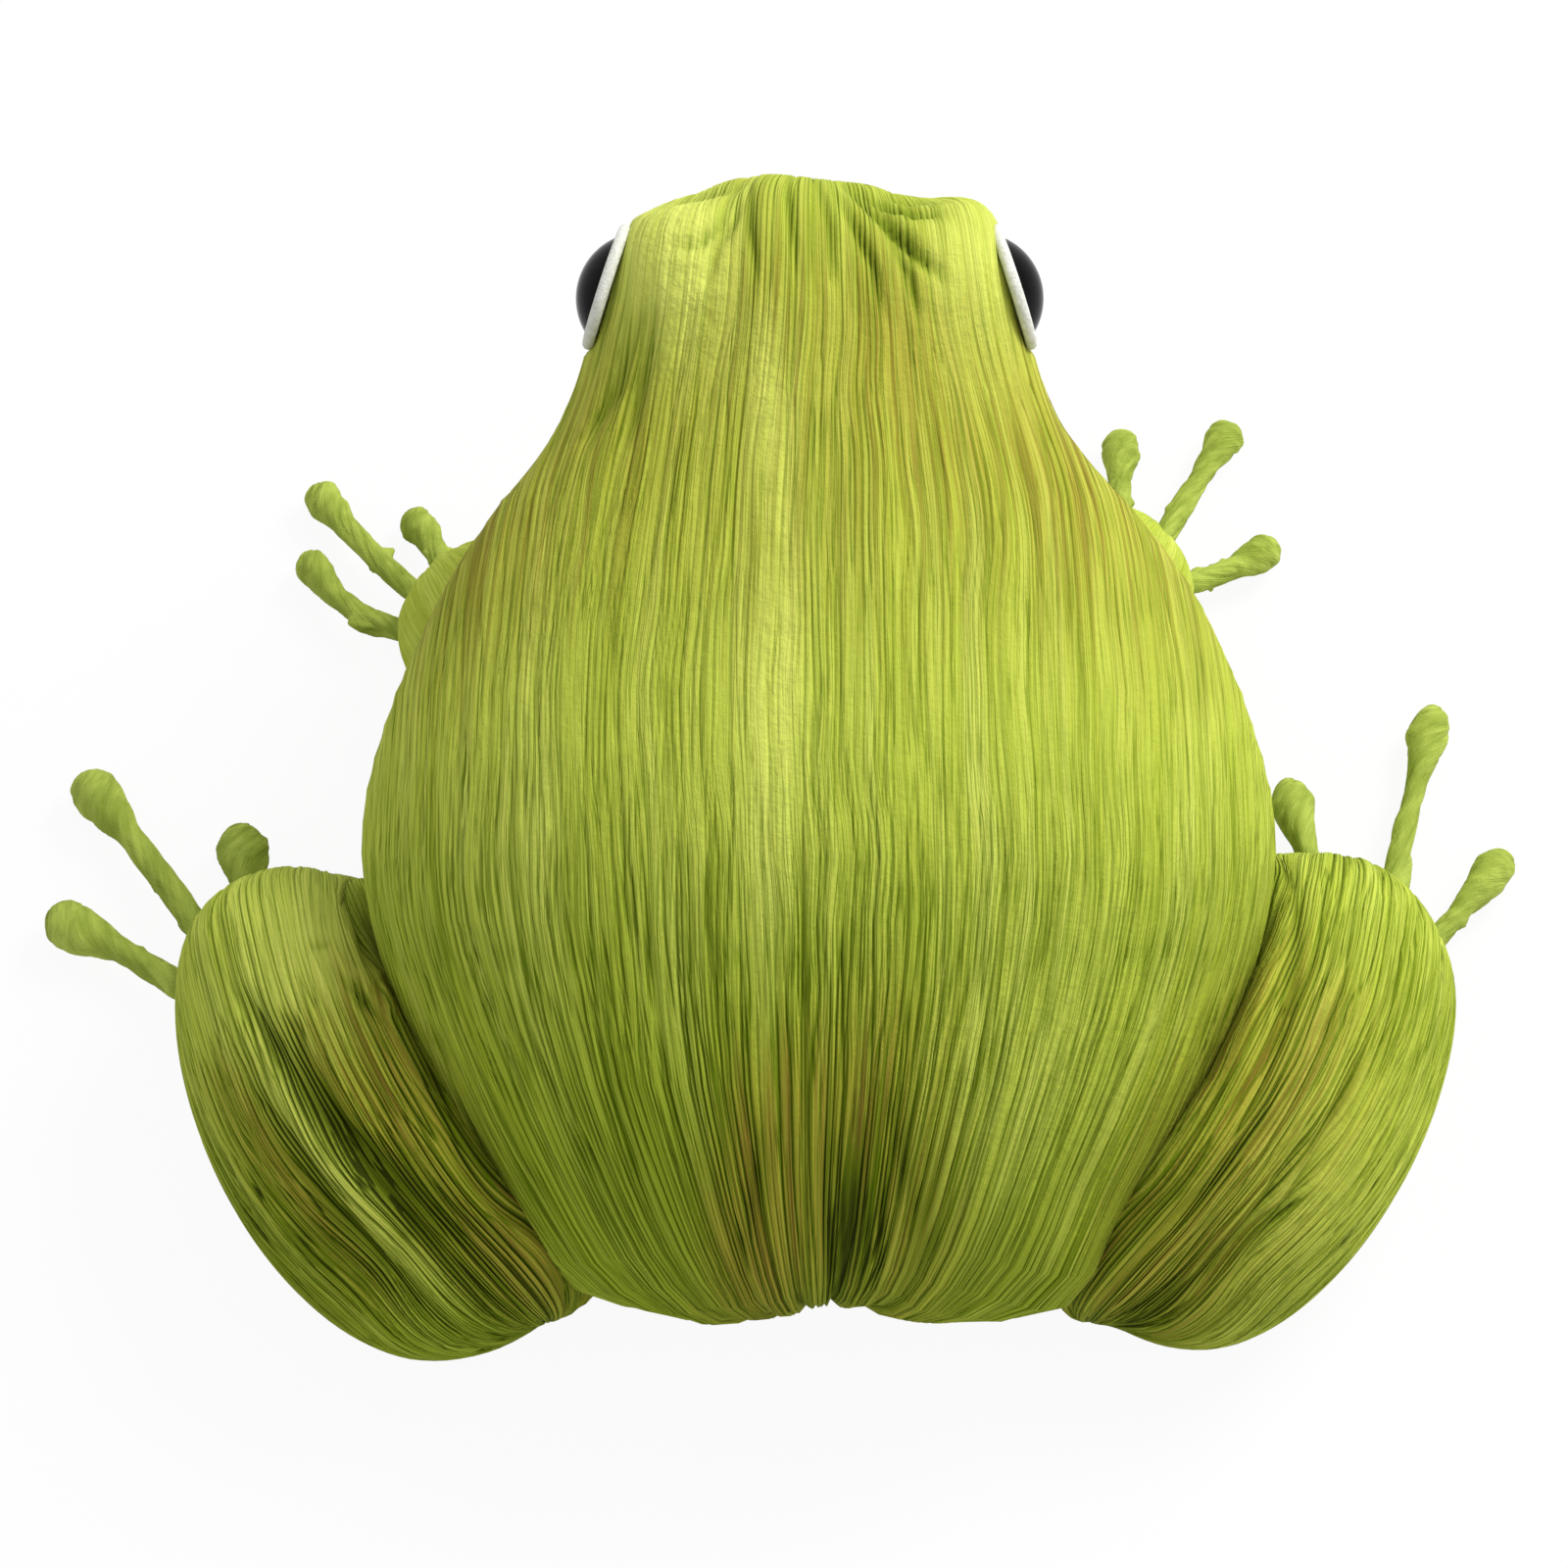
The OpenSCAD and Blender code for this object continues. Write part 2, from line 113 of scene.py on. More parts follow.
def toe_holes_papered(reach, rows, columns):
    for pick in (np.maximum, np.minimum):
        grown = reach
        for n in range(1, columns + 1):
            grown = pick(grown, pick(np.roll(reach, n, axis=1), np.roll(reach, -n, axis=1)))
        reach = grown
        for n in range(1, rows + 1):
            ahead = np.concatenate([reach[n:], np.repeat(reach[-1:], n, axis=0)])
            behind = np.concatenate([np.repeat(reach[:1], n, axis=0), reach[:-n]])
            grown = pick(grown, pick(ahead, behind))
        reach = grown
    return reach


def solid_of(node):
    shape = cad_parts[node]
    points = [shape.matrix_world @ v.co for v in shape.data.vertices]
    return BVHTree.FromPolygons(points, [tuple(face.vertices) for face in shape.data.polygons])


# Wrapping: rays from a bent line inside a solid find its surface, row by row from end to end, and
# their lengths are smoothed into the plain form that the pleats are then pressed into. The caps are the
# shares of rows that close each end, and the tucks pull the ends' middles down.
def wrapped(node, line, top, share, columns, caps, tucks, softness, papered=None, lean=0):
    solid = solid_of(node)
    rows = len(share)
    first, last = caps
    polar = np.full(rows, math.pi / 2)
    polar[share < first] = share[share < first] / first * math.pi / 2
    polar[share > 1 - last] = math.pi - (1 - share[share > 1 - last]) / last * math.pi / 2
    polar = np.clip(polar, POLE_GAP, math.pi - POLE_GAP)
    slide = np.clip((share - first) / (1 - first - last), 0, 1)[:, None]
    start, bend, end = line
    origin = (1 - slide) ** 2 * start + 2 * slide * (1 - slide) * bend + slide ** 2 * end
    way = unit((1 - slide) * (bend - start) + slide * (end - bend))
    side = np.cross(way, top)
    around = np.arange(columns) / columns
    turn = 2 * math.pi * around[None, :, None]
    sideways = -np.cos(turn) * top + np.sin(turn) * side[:, None]
    tail_pole = unit(-way[0] - tucks[0] * top + lean * side[0])
    nose_pole = unit(way[-1] - tucks[1] * top)
    tailward = np.maximum(np.cos(polar), 0)[:, None] * tail_pole
    noseward = np.maximum(-np.cos(polar), 0)[:, None] * nose_pole
    aim = unit((tailward + noseward)[:, None] + np.sin(polar)[:, None, None] * sideways)
    reach = np.empty((rows, columns))
    for r in range(rows):
        for c in range(columns):
            found = solid.ray_cast(Vector(origin[r]), Vector(aim[r, c]))[3]
            reach[r, c] = found if found is not None else reach[r - 1, c]
    if papered:
        reach = toe_holes_papered(reach, *papered)
    reach = blurred(reach, *softness)
    grid = origin[:, None] + aim * reach[..., None]
    if papered:
        grid = np.stack([blurred(grid[..., n], DRAPE, 0) for n in range(3)], axis=-1)
    return grid, np.broadcast_to(around, (rows, columns))


# Combing: new columns of points that follow the lay of the paper, closest together on top
def combed(grid, lay, columns, crowd):
    spread = np.arange(columns) / columns
    spread = spread + crowd * np.sin(2 * math.pi * spread) / (2 * math.pi)
    closed = np.concatenate([grid, grid[:, :1]], axis=1)
    lay = np.concatenate([lay, np.ones((len(grid), 1))], axis=1)
    rows = [[np.interp(spread, lay[r], closed[r, :, n]) for n in range(3)] for r in range(len(grid))]
    return np.array(rows).transpose(0, 2, 1), spread


def rows_in(*stretches):
    rows = [np.linspace(low, high, count, endpoint=high == 1) for low, high, count in stretches]
    return np.concatenate(rows)


def outward(grid):
    across = np.roll(grid, -1, axis=1) - np.roll(grid, 1, axis=1)
    along = np.gradient(grid, axis=0)
    return unit(np.cross(along, across))


def pitch_of(grid, folds):
    step = np.linalg.norm(np.roll(grid, -1, axis=1) - grid, axis=2)
    return step.sum(axis=1)[:, None] / folds


def with_ends(values):
    rows, columns = values.shape[:2]
    by_row = values.reshape(rows, columns, -1)
    first = by_row[0].mean(0)[None]
    last = by_row[-1].mean(0)[None]
    return np.concatenate([by_row.reshape(rows * columns, -1), first, last])


def skin(name, grid, facts):
    rows, columns = grid.shape[:2]
    here = np.arange(rows * columns).reshape(rows, columns)
    there = np.roll(here, -1, axis=1)
    quads = np.stack([here[:-1], here[1:], there[1:], there[:-1]], axis=-1).reshape(-1, 4)
    tail = rows * columns
    caps = [[tail, here[0, c], there[0, c]] for c in range(columns)]
    caps += [[tail + 1, there[-1, c], here[-1, c]] for c in range(columns)]
    mesh = bpy.data.meshes.new(name)
    mesh.from_pydata(with_ends(grid).tolist(), [], quads.tolist() + caps)
    for fact, values in facts.items():
        wide = values.ndim == 3
        layer = mesh.attributes.new(fact, "FLOAT_VECTOR" if wide else "FLOAT", "POINT")
        layer.data.foreach_set("vector" if wide else "value", with_ends(values).astype(np.float32).ravel())
    mesh.polygons.foreach_set("use_smooth", np.ones(len(mesh.polygons), dtype=bool))
    mesh.update()
    piece = bpy.data.objects.new(name, mesh)
    scene.collection.objects.link(piece)
    return piece


def keep(piece, material, node):
    piece.data.materials.append(material)
    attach(piece, "root")
    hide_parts(node)


# Shader expressions
class Value:
    def __init__(self, finish, socket):
        self.finish = finish
        self.socket = socket

    def maths(self, operation, other, swap=False):
        pair = (other, self) if swap else (self, other)
        return self.finish.node("ShaderNodeMath", {"operation": operation}, {0: pair[0], 1: pair[1]})

    def __add__(self, other):
        return self.maths("ADD", other)

    def __radd__(self, other):
        return self.maths("ADD", other, True)

    def __sub__(self, other):
        return self.maths("SUBTRACT", other)

    def __rsub__(self, other):
        return self.maths("SUBTRACT", other, True)

    def __mul__(self, other):
        return self.maths("MULTIPLY", other)

    def __rmul__(self, other):
        return self.maths("MULTIPLY", other, True)

    def __abs__(self):
        return self.maths("ABSOLUTE", 0)


class Finish:
    def __init__(self, name, target=None):
        self.material = target or bpy.data.materials.new(name)
        self.material.use_nodes = True
        self.tree = self.material.node_tree
        self.tree.nodes.clear()

    def node(self, kind, settings=None, sockets=None, out=0):
        made = self.tree.nodes.new(kind)
        for key, value in (settings or {}).items():
            setattr(made, key, value)
        for key, value in (sockets or {}).items():
            if isinstance(value, Value):
                self.tree.links.new(value.socket, made.inputs[key])
            else:
                made.inputs[key].default_value = value
        return Value(self, made.outputs[out])

    def attribute(self, name, out="Fac"):
        return self.node("ShaderNodeAttribute", {"attribute_name": name}, out=out)

    def place(self):
        return self.node("ShaderNodeTexCoord", out="Object")

    def noise(self, vector, detail, roughness=0.5, scale=1.0):
        sockets = {"Vector": vector, "Scale": scale, "Detail": detail, "Roughness": roughness}
        return self.node("ShaderNodeTexNoise", None, sockets)

    def streaks(self, flow, across, along, detail, roughness=0.5):
        sockets = {0: flow, 1: (across, along, 1)}
        stretched = self.node("ShaderNodeVectorMath", {"operation": "MULTIPLY"}, sockets)
        return self.noise(stretched, detail, roughness)

    def between(self, value, low, high):
        sockets = {"Value": value, "From Min": low, "From Max": high}
        return self.node("ShaderNodeMapRange", {"interpolation_type": "SMOOTHSTEP"}, sockets)

    def mix(self, share, one, other):
        settings = {"data_type": "RGBA"}
        return self.node("ShaderNodeMix", settings, {0: share, 6: one, 7: other}, out=2)

    def mix_light(self, share, one, other):
        return self.node("ShaderNodeMixShader", None, {0: share, 1: one, 2: other})

    def bump(self, height, strength, distance):
        sockets = {"Strength": strength, "Distance": distance, "Height": height}
        return self.node("ShaderNodeBump", None, sockets)

    def surface(self, **sockets):
        named = {key.replace("_", " "): value for key, value in sockets.items()}
        return self.close(self.node("ShaderNodeBsdfPrincipled", None, named))

    def close(self, shader, kind="ShaderNodeOutputMaterial"):
        end = self.tree.nodes.new(kind)
        self.tree.links.new(shader.socket, end.inputs["Surface"])
        return self.material


def dye(red, green, blue):
    shares = [level / 255 for level in (red, green, blue)]
    linear = [((c + 0.055) / 1.055) ** 2.4 if c > 0.04045 else c / 12.92 for c in shares]
    return (*linear, 1.0)


def grey(level):
    return (level, level, level, 1)


LEMON = dye(220, 228, 110)
LEAF = dye(194, 206, 84)
MOSS = dye(180, 194, 66)
PLEAT_SHADE_GREEN = dye(138, 160, 10)
STALK = dye(154, 172, 72)
SPROUT = dye(180, 196, 88)
SHADE = dye(98, 122, 0)
OLIVE = dye(166, 150, 52)
BARK = dye(108, 86, 28)
DEEP_SHADE = dye(46, 54, 2)
FELT_DIM = dye(226, 227, 214)
FELT_BRIGHT = dye(252, 252, 246)
EYE_BLACK = (0.0022, 0.0022, 0.0024, 1)
EYE_CLOUD = (0.006, 0.006, 0.007, 1)
WHITE = grey(1)
PAPER_ROUGHNESS = 0.86
PAPER_SHINE = 0.11
PAPER_GRAIN = 0.8 * MM
FELT_GRAIN = 0.9 * MM


# Crepe paper: broad bands, streaks, pleats and threads that follow the folds, with the dye over them,
# and painted shade in the tight pleats, creases and folds
def crepe_paper(name, fold):
    paper = Finish(name)
    flow = paper.attribute("flow", "Vector")
    crease = paper.attribute("crease")
    drawn = paper.attribute("drawn")
    dye_and_shade = paper.attribute("dye_and_shade")
    pale = paper.attribute("pale")
    broad = paper.streaks(flow, 0.16 * fold, 1.3, detail=2)
    streak = paper.streaks(flow, 0.6 * fold, 2, detail=3, roughness=0.6)
    pleat = paper.streaks(flow, fold, 3, detail=1)
    thread = paper.streaks(flow, 2.1 * fold, 7, detail=1)
    tint = paper.streaks(flow, 1.2 * fold, 2.6, detail=2, roughness=0.6)
    fibre = paper.noise(paper.place(), detail=3, roughness=0.65, scale=900.0)
    crinkle = paper.noise(paper.place(), detail=3, roughness=0.6, scale=230.0)
    line = 1 - paper.between(abs(pleat - 0.5), 0.005, 0.04)
    hair = 1 - paper.between(abs(thread - 0.5), 0.005, 0.045)
    light = paper.between(broad * 0.5 + streak * 0.5, 0.38, 0.62)
    bright = paper.between(broad * 0.75 + streak * 0.25, 0.52, 0.68)
    patchy = paper.between(tint * 0.7 + broad * 0.3, 0.38, 0.58)
    colour = paper.mix(light, MOSS, LEAF)
    colour = paper.mix(bright * 0.4, colour, LEMON)
    colour = paper.mix(pale * (0.6 + 0.4 * light), colour, LEMON)
    # painted shade: where the paper is drawn tight, a deeper saturated green stands for the shade between the
    # pleats
    colour = paper.mix(paper.between(drawn, 0.65, 1.6) * 0.65, colour, PLEAT_SHADE_GREEN)
    # brown dye, and painted shade where the left thigh's outer lower side is darkened
    colour = paper.mix(dye_and_shade * (0.45 + 0.55 * patchy), colour, OLIVE)
    colour = paper.mix(dye_and_shade * paper.between(tint, 0.5, 0.64) * 0.85, colour, BARK)
    # painted shade: the fine crease lines, the creases and the fold valleys are darkened, the deepest ones
    # most
    colour = paper.mix((line * 0.55 + hair * 0.4) * drawn, colour, SHADE)
    colour = paper.mix(paper.between(crease, 0.0, 0.9) * 0.75, colour, SHADE)
    colour = paper.mix(paper.between(crease, 0.6, 1.6) * 0.9, colour, DEEP_SHADE)
    wrinkle = fibre * 0.6 + crinkle * (1 + 2.5 * pale) - (line * 0.7 + hair * 0.3) * drawn
    return paper.surface(
        Base_Color=colour, Roughness=PAPER_ROUGHNESS, Specular_IOR_Level=PAPER_SHINE,
        Normal=paper.bump(wrinkle, 0.5, PAPER_GRAIN))


def twisted_paper():
    paper = Finish("twisted_paper")
    flow = paper.attribute("flow", "Vector")
    crease = paper.attribute("crease")
    blotch = paper.streaks(flow, 3, 5, detail=3, roughness=0.6)
    fibre = paper.streaks(flow, 40, 12, detail=2, roughness=0.6)
    colour = paper.mix(paper.between(blotch, 0.35, 0.65), STALK, SPROUT)
    colour = paper.mix(paper.between(fibre, 0.5, 0.75) * 0.3, colour, LEMON)
    colour = paper.mix(crease * 0.5, colour, SHADE)
    return paper.surface(
        Base_Color=colour, Roughness=PAPER_ROUGHNESS, Specular_IOR_Level=PAPER_SHINE,
        Normal=paper.bump(fibre, 0.5, PAPER_GRAIN))


def white_felt():
    felt = Finish("white_felt")
    fuzz = felt.noise(felt.place(), detail=4, roughness=0.7, scale=2600.0)
    tufts = felt.noise(felt.place(), detail=2, scale=520.0)
    colour = felt.mix(felt.between(fuzz * 0.6 + tufts * 0.4, 0.35, 0.65), FELT_DIM, FELT_BRIGHT)
    return felt.surface(
        Base_Color=colour, Roughness=0.95, Specular_IOR_Level=0.1,
        Normal=felt.bump(fuzz + tufts, 0.7, FELT_GRAIN))


def black_gloss():
    gloss = Finish("black_gloss")
    cloud = gloss.noise(gloss.place(), detail=3, scale=160.0)
    colour = gloss.mix(gloss.between(cloud, 0.4, 0.7), EYE_BLACK, EYE_CLOUD)
    rough = 0.05 + 0.07 * gloss.between(cloud, 0.35, 0.75)
    return gloss.surface(Base_Color=colour, Roughness=rough, Specular_IOR_Level=0.05)


back_paper = crepe_paper("back_paper", fold=420)
thigh_paper = crepe_paper("thigh_paper", fold=200)
arm_paper = crepe_paper("arm_paper", fold=95)
toe_paper = twisted_paper()

# Deep folds, traced on the back as it is seen from straight above it: half-width, depth, the darkness
# of the painted shade along the fold and the places that the fold runs through, in millimetres to the
# right and from the tail end. A fold with a depth below zero is a ridge, and the widest ridges fill the
# cleft between a thigh and the flank.
BACK_FOLDS = [
    (0.9, 1.3, 0.56, [(-16, 209.5), (-18, 202), (-21.5, 198), (-28, 197)]),
    (0.8, 1.3, 0.56, [(-13.5, 210.5), (-20, 208), (-26, 207), (-31.5, 205)]),
    (1.0, 1.3, 0.44, [(-14.5, 209), (-15.5, 202.5), (-19, 197), (-20.5, 190)]),
    (0.7, 0.9, 0.66, [(-12.5, 210), (-12.5, 201), (-11.5, 192)]),
    (1.0, 1.8, 1.0, [(5, 209.5), (10, 204.5), (14.5, 199.5), (18.5, 195), (22.5, 191.5)]),
    (0.8, 1.5, 0.88, [(7.5, 208.5), (12.5, 205.5), (18, 204), (23.5, 203.5)]),
    (0.6, 1.1, 0.56, [(11, 208), (17, 206.7), (23.5, 206.5)]),
    (0.8, 1.1, 0.66, [(2.5, 209), (6.5, 201), (10, 193.5), (11.5, 184.5)]),
    (0.8, 1.0, 0.56, [(12.5, 200), (16, 192.5), (18, 184.5)]),
    (0.7, 0.8, 0.56, [(0, 210), (2, 201), (2.5, 190)]),
    (0.7, 0.8, 0.44, [(-6, 211), (-5, 202), (-4, 192)]),
    (1.2, 1.1, 0.56, [(-33, 184.5), (-37, 172), (-42, 163)]),
    (1.1, 1.0, 0.56, [(-30, 184.5), (-32.5, 172), (-35, 161)]),
    (1.2, 1.8, 1.2, [(6.5, 36), (6, 22.5), (5.5, 10)]),
    (0.6, 1.2, 1.2, [(4.3, 32), (4.2, 20), (4.2, 4)]),
    (0.6, 1.2, 1.1, [(8.7, 30), (8.4, 20), (8, 6)]),
    (0.5, 1.0, 1.0, [(2.2, 26), (2.4, 16), (2.8, 2)]),
    (0.5, 1.0, 1.0, [(11.5, 30), (10.8, 18), (10, 4)]),
    (1.1, 1.1, 0.45, [(0, 39), (1, 24.5), (2.5, 9)]),
    (1.0, 1.1, 0.39, [(-9, 46), (-11, 31.5), (-13.5, 17), (-15.5, 8)]),
    (1.0, 1.1, 0.39, [(12.5, 42.5), (16, 28), (20, 13.5)])]
THIGH_FOLDS = {
    "left": [
        (5, -3.2, 0.0, [(-80, 62), (-69.5, 42.5), (-60.5, 28), (-49.5, 12), (-40, 2), (-24, -14)]),
        (1.6, 1.9, 1.0, [
            (-104, 60.5), (-99, 51.5), (-92.5, 41.5), (-83.5, 30.5), (-74.5, 21.5), (-65.5, 12), (-56, 3)]),
        (1.5, 1.9, 1.1, [(-96.5, 56), (-93.5, 48), (-87.5, 39), (-78.5, 30), (-69, 20), (-58.5, 10)]),
        (2.0, 1.4, 0.7, [(-105.5, 48), (-96.5, 35), (-89, 23.5), (-80, 12), (-69, 1)]),
        (2.8, -1.4, 0.0, [(-101, 45), (-92.5, 35), (-85.5, 27), (-78.5, 18)]),
        (1.2, 1.4, 0.6, [(-78.5, 57), (-71, 44), (-64, 33.5), (-55, 21), (-47.5, 12)]),
        (0.6, 0.8, 0.4, [(-94, 71), (-87, 70.5)]),
        # painted shade: a wide, shallow band that darkens the left thigh's outer lower side
        (9, 0.2, 0.8, [(-121, 38), (-110, 10), (-92, -8)]),
        (0.8, 1.2, 0.6, [(-87.5, 82), (-83.5, 73), (-82, 66.5)]),
        (0.8, 1.0, 0.6, [(-88, 66.5), (-84.5, 62), (-78.5, 56)])],
    "right": [
        (5, -3.2, 0.0, [(84, 62), (83, 54), (78.5, 42.5), (67.5, 28), (56.5, 13.5), (44, 0), (26, -16)]),
        (1.2, 1.5, 0.5, [(83.5, 46), (78.5, 37), (71, 28), (62, 19), (55, 10)]),
        (1.2, 1.5, 0.5, [(91, 40.5), (85.5, 30), (78.5, 19), (69.5, 9), (60.5, 3.5)]),
        (1.2, 1.4, 0.4, [(98, 49.5), (92.5, 35), (85.5, 22.5), (76.5, 10), (67.5, 2)]),
        (3.0, 0.6, 0.7, [(68, 10), (60, 3), (52, -2)]),
        (1.2, 1.2, 0.6, [(87, 85.5), (87.5, 71), (85.5, 60.5), (80, 48)])]}
# Brown dye and pale paper, with one line of painted shade and one of painted highlight on the left thigh,
# given in the same way: half-width, strength and places
BACK_STAINS = [
    (12, 0.5, [(-52, 160), (-62, 143), (-70, 125)]),
    (11, 0.25, [(-34, 184), (-40, 168), (-50, 152)]),
    (14, 0.55, [(30, 182), (42, 164), (55, 148), (66, 130)]),
    (24, 0.42, [(-45, 156), (0, 160), (45, 156)]),
    (6, 0.45, [(-12, 204), (-11, 190), (-12, 172)]),
    (8, 0.45, [(8, 196), (14, 182), (18, 164)]),
    (9, 0.9, [(11, 54), (11, 36), (12, 20), (13, 4)]),
    (7, 1.7, [(-5, 46), (-7, 28), (-11, 6)]),
    (8, 0.6, [(80, 62), (72, 44), (62, 26), (54, 12)]),
    (6, 0.5, [(-78, 58), (-70, 40), (-58, 22)])]
BACK_PALES = [
    (8, 1.5, [(-27, 208), (-27, 199), (-25, 184)]),
    (8, 0.8, [(26, 208), (28, 196), (28, 176)]),
    (3, 0.85, [(-10, 184), (-9, 168), (-9, 150)]),
    (3.5, 0.65, [(-7, 146), (-7, 115), (-6, 80)]),
    (13, 0.4, [(48, 66), (38, 44), (30, 20)])]
THIGH_DYE_AND_SHADE = {
    "left": [
        (7.5, 1.5, [(-84, 66), (-76, 50), (-66, 34), (-47, 10)]),
        (3.5, 1.0, [(-95, 54), (-86, 38), (-70, 20), (-56, 6)]),
        (4, 0.9, [(-108, 46), (-96, 28), (-80, 8)]),
        # painted shade, darkening the left thigh's outer lower side
        (9, 0.6, [(-119, 28), (-108, 6), (-92, -8)])],
    "right": [
        (7, 0.7, [(84, 75), (82, 58), (73, 38), (60, 13)]),
        (9, 0.8, [(95, 52), (86, 34), (74, 18), (62, 4)]),
        (7, 1.0, [(70, 16), (60, 8), (52, 4)])]}
THIGH_PALES = {
    "left": [
        # painted highlight: a paler strip along the left thigh's ridge
        (3.0, 0.6, [(-104, 52), (-96, 40), (-85.5, 27), (-78.5, 18), (-68, 6)]),
        (8, 0.8, [(-96, 84), (-92, 70), (-88, 58)])],
    "right": [
        (8, 0.5, [(94, 40), (86, 22), (76, 6)])]}
# Swellings and hollows, such as the mound of gathers over the nose, the brows on both sides of it and
# the knees' inner corners: place, half-widths and height in millimetres
BACK_MOUNDS = [
    (-27, 198, 6, 7, 2.4),
    (26, 197, 6, 8, 2.0),
    (-8, 195, 7, 11, 2.2),
    (30, 203, 4, 4, 0.8),
    (-22, 209, 4, 3, -1.4),
    (18, 208, 5, 3, -1.4),
    (-30, 207, 5, 4, -1.6),
    (43, 8, 9, 9, 5),
    (-46, 6, 8, 8, 2)]
KNEE_MOUNDS = {
    "left": [(-83, 93, 10, 9, -9), (-113, 74, 9, 9, 2.5)],
    "right": [(86, 93, 9, 8, -4.5)]}
STAIN_FADING = 0.5
FOLD_FADING = 0.7


def seen_on_back(grid):
    off = (grid - TAIL) / MM
    upright = outward(grid) @ OUT_OF_BACK
    place = np.stack([off @ RIGHTWARD, off @ NOSEWARD], axis=-1)
    return place, ease(upright, 0, 0.3), ease(upright, -0.5, 0.1)


def traced(place, line, width, fading):
    line = np.array(line, dtype=float)
    last = len(line) - 1
    near = np.zeros(place.shape[:2])
    for n in range(last):
        step = line[n + 1] - line[n]
        t = np.clip((place - line[n]) @ step / (step @ step), 0, 1)
        gap = np.linalg.norm(place - line[n] - t[..., None] * step, axis=-1)
        middle = np.sin(math.pi * (n + t) / last)
        near = np.maximum(near, hill(gap, width) * (1 - fading + fading * middle))
    return near


def spots(place, lines):
    marks = [strength * traced(place, line, width, STAIN_FADING) for width, strength, line in lines]
    return np.clip(sum(marks), 0, 1)


def swollen(grid, mounds):
    place, _, over = seen_on_back(grid)
    rise = np.zeros(place.shape[:2])
    for x, y, wide, long, amount in mounds:
        bulge = amount * hill(place[..., 0] - x, wide) * hill(place[..., 1] - y, long)
        rise += bulge * over if amount > 0 else bulge
    return grid + outward(grid) * (rise * MM)[..., None]


# Pleating: each set of pleats gives a count round the form, runs along it, half-width and depth in
# millimetres and the darkness of the painted shade in its creases, and each set of gathers a count,
# depth and strength by row. Depths stay within shares of the pitch, so that no fold crosses its neighbour.
SWAYS = [(0.003, 14, 6), (0.0012, 90, 16)]
WIDTH_OF_PITCH = 0.3
DEPTH_OF_PITCH = 0.9
GATHER_OF_PITCH = 0.5
FOLD_DEEPENING = 1.5
FOLD_NARROWING = 0.9
FOLD_SHADE = 0.9
GATHER_SHADE = 0.8
GATHER_WIDTH = 0.5
GATHER_LINE = 0.3
GATHER_RUNS = 2
PALE_SMOOTHNESS = 0.55
PALE_CLEANNESS = 0.7
LEAST_SLOPE = 0.01


def pleated(grid, around, share, pleats, gathers, tightness, seed, folds=(), dye_and_shade_lines=(), pales=()):
    turn, along = np.broadcast_arrays(around, share[:, None])
    place, facing, over = seen_on_back(grid)
    pale = spots(place, pales) + 0 * along
    drawn = tightness[:, None] * (1 - PALE_SMOOTHNESS * pale)
    flow = turn + sum(
        amount * crumple(turn, along, cells, runs, seed + n) for n, (amount, cells, runs) in enumerate(SWAYS))
    relief = np.zeros(turn.shape)
    crease = np.zeros(turn.shape)
    for n, (count, runs, width, depth, weight) in enumerate(pleats):
        field = crumple(flow, along, count, runs, seed + 10 + n)
        slope = np.abs(np.gradient(field, axis=1)) / np.gradient(around) + LEAST_SLOPE
        half = np.minimum(width * MM, WIDTH_OF_PITCH * pitch_of(grid, count))
        line = np.clip(1 - np.abs(field) / slope * pitch_of(grid, 1) / half, 0, 1)
        bound = np.minimum(depth * MM, DEPTH_OF_PITCH * pitch_of(grid, count))
        relief -= bound * line * drawn
        crease = np.maximum(crease, weight * line * drawn)
    for count, depth, strength in gathers:
        field = crumple(flow, along, count, GATHER_RUNS, seed + 30 + count)
        bound = np.minimum(depth * MM, GATHER_OF_PITCH * pitch_of(grid, count))
        relief -= bound * strength[:, None] * creases(field, GATHER_WIDTH)
        crease = np.maximum(crease, GATHER_SHADE * strength[:, None] * creases(field, GATHER_LINE))
    # painted shade along the folds, drawn on the sides that face out of the back
    fold_shade = np.zeros(turn.shape)
    for width, depth, darkness, line in folds:
        sides = facing if depth > 0 else over
        pressed = traced(place, line, FOLD_NARROWING * width, FOLD_FADING)
        relief -= FOLD_DEEPENING * depth * MM * sides * pressed
        fold_shade = np.maximum(fold_shade, darkness * facing * traced(place, line, width, FOLD_FADING))
    made = grid + outward(grid) * relief[..., None]
    made[..., 2] = np.maximum(made[..., 2], 0)
    return made, {
        "flow": np.stack([flow, along, 0 * along + seed], axis=-1),
        "crease": crease * (1 + fold_shade) + FOLD_SHADE * fold_shade,
        "drawn": drawn,
        "dye_and_shade": spots(place, dye_and_shade_lines) * (1 - PALE_CLEANNESS * pale),
        "pale": pale}


# Body: places from the tail end along the back and the reach of a station, in millimetres, and stretches
# of rows with their counts and the start of the face, as shares of the way from rump to nose
BACK_LENGTH = 212
FAN_START = 150
SPINE = (46, 110, 174)
STATION_REACH = 3
STATION_SOFTNESS = 4
FAN = 0.3
FACE_START = 0.87
BACK_PLEATS = [(90, 3, 1.2, 0.4, 0.1), (400, 6, 0.34, 0.5, 1.0), (620, 9, 0.26, 0.3, 0.6)]
BACK_ROWS = [
    (0, 0.18, 13), (0.18, 0.5, 12), (0.5, 0.66, 9), (0.66, 0.78, 14), (0.78, 0.9, 28), (0.9, 1, 6)]


